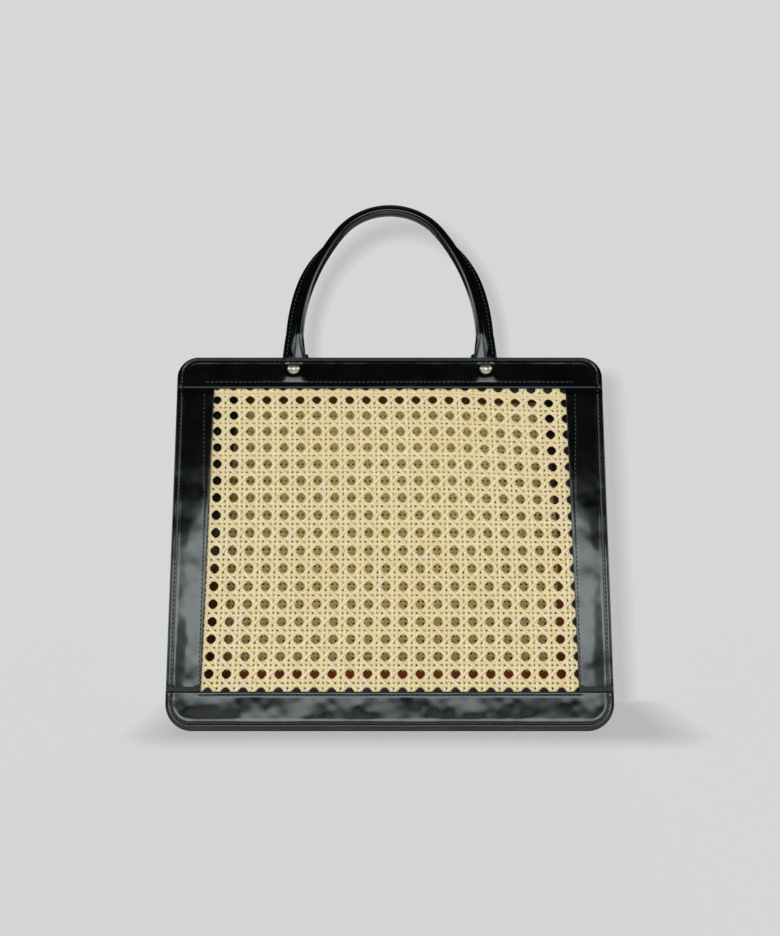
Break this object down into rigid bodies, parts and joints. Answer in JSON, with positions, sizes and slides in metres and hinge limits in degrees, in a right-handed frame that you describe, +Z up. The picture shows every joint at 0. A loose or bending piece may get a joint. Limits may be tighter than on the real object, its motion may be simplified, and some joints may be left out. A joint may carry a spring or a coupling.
{
  "type": "tote bag",
  "caption": "Stiff flat tote bag with woven cane panels in sewn black leather frames, a folding gusset and rolled leather handles on domed rivets",
  "frame": {"origin": "on the floor, under the middle of the bag", "axes": "+X along the width, -Y the front with the standing handle, +Z up"},
  "size_m": [0.324, 0.0838, 0.3987],
  "materials": {
    "black_leather": "gloss",
    "cane": "satin",
    "board": "matt",
    "red_lining": "satin",
    "rivet_metal": "polished"
  },
  "bodies": {
    "root": {"front_top_band": "black_leather", "front_bottom_band": "black_leather", "front_left_strip": "black_leather", "front_right_strip": "black_leather", "front_cane_panel": "cane", "front_frame_board": "board", "front_lining_frame": "red_lining", "front_handle": "black_leather", "front_rivet_caps": "rivet_metal", "front_rivet_posts": "rivet_metal", "back_top_band": "black_leather", "back_bottom_band": "black_leather", "back_left_strip": "black_leather", "back_right_strip": "black_leather", "back_cane_panel": "cane", "back_frame_board": "board", "back_lining_frame": "red_lining", "back_handle": "black_leather", "back_rivet_caps": "rivet_metal", "back_rivet_posts": "rivet_metal", "gusset": "black_leather", "base_board": "board"}
  },
  "joints": []
}
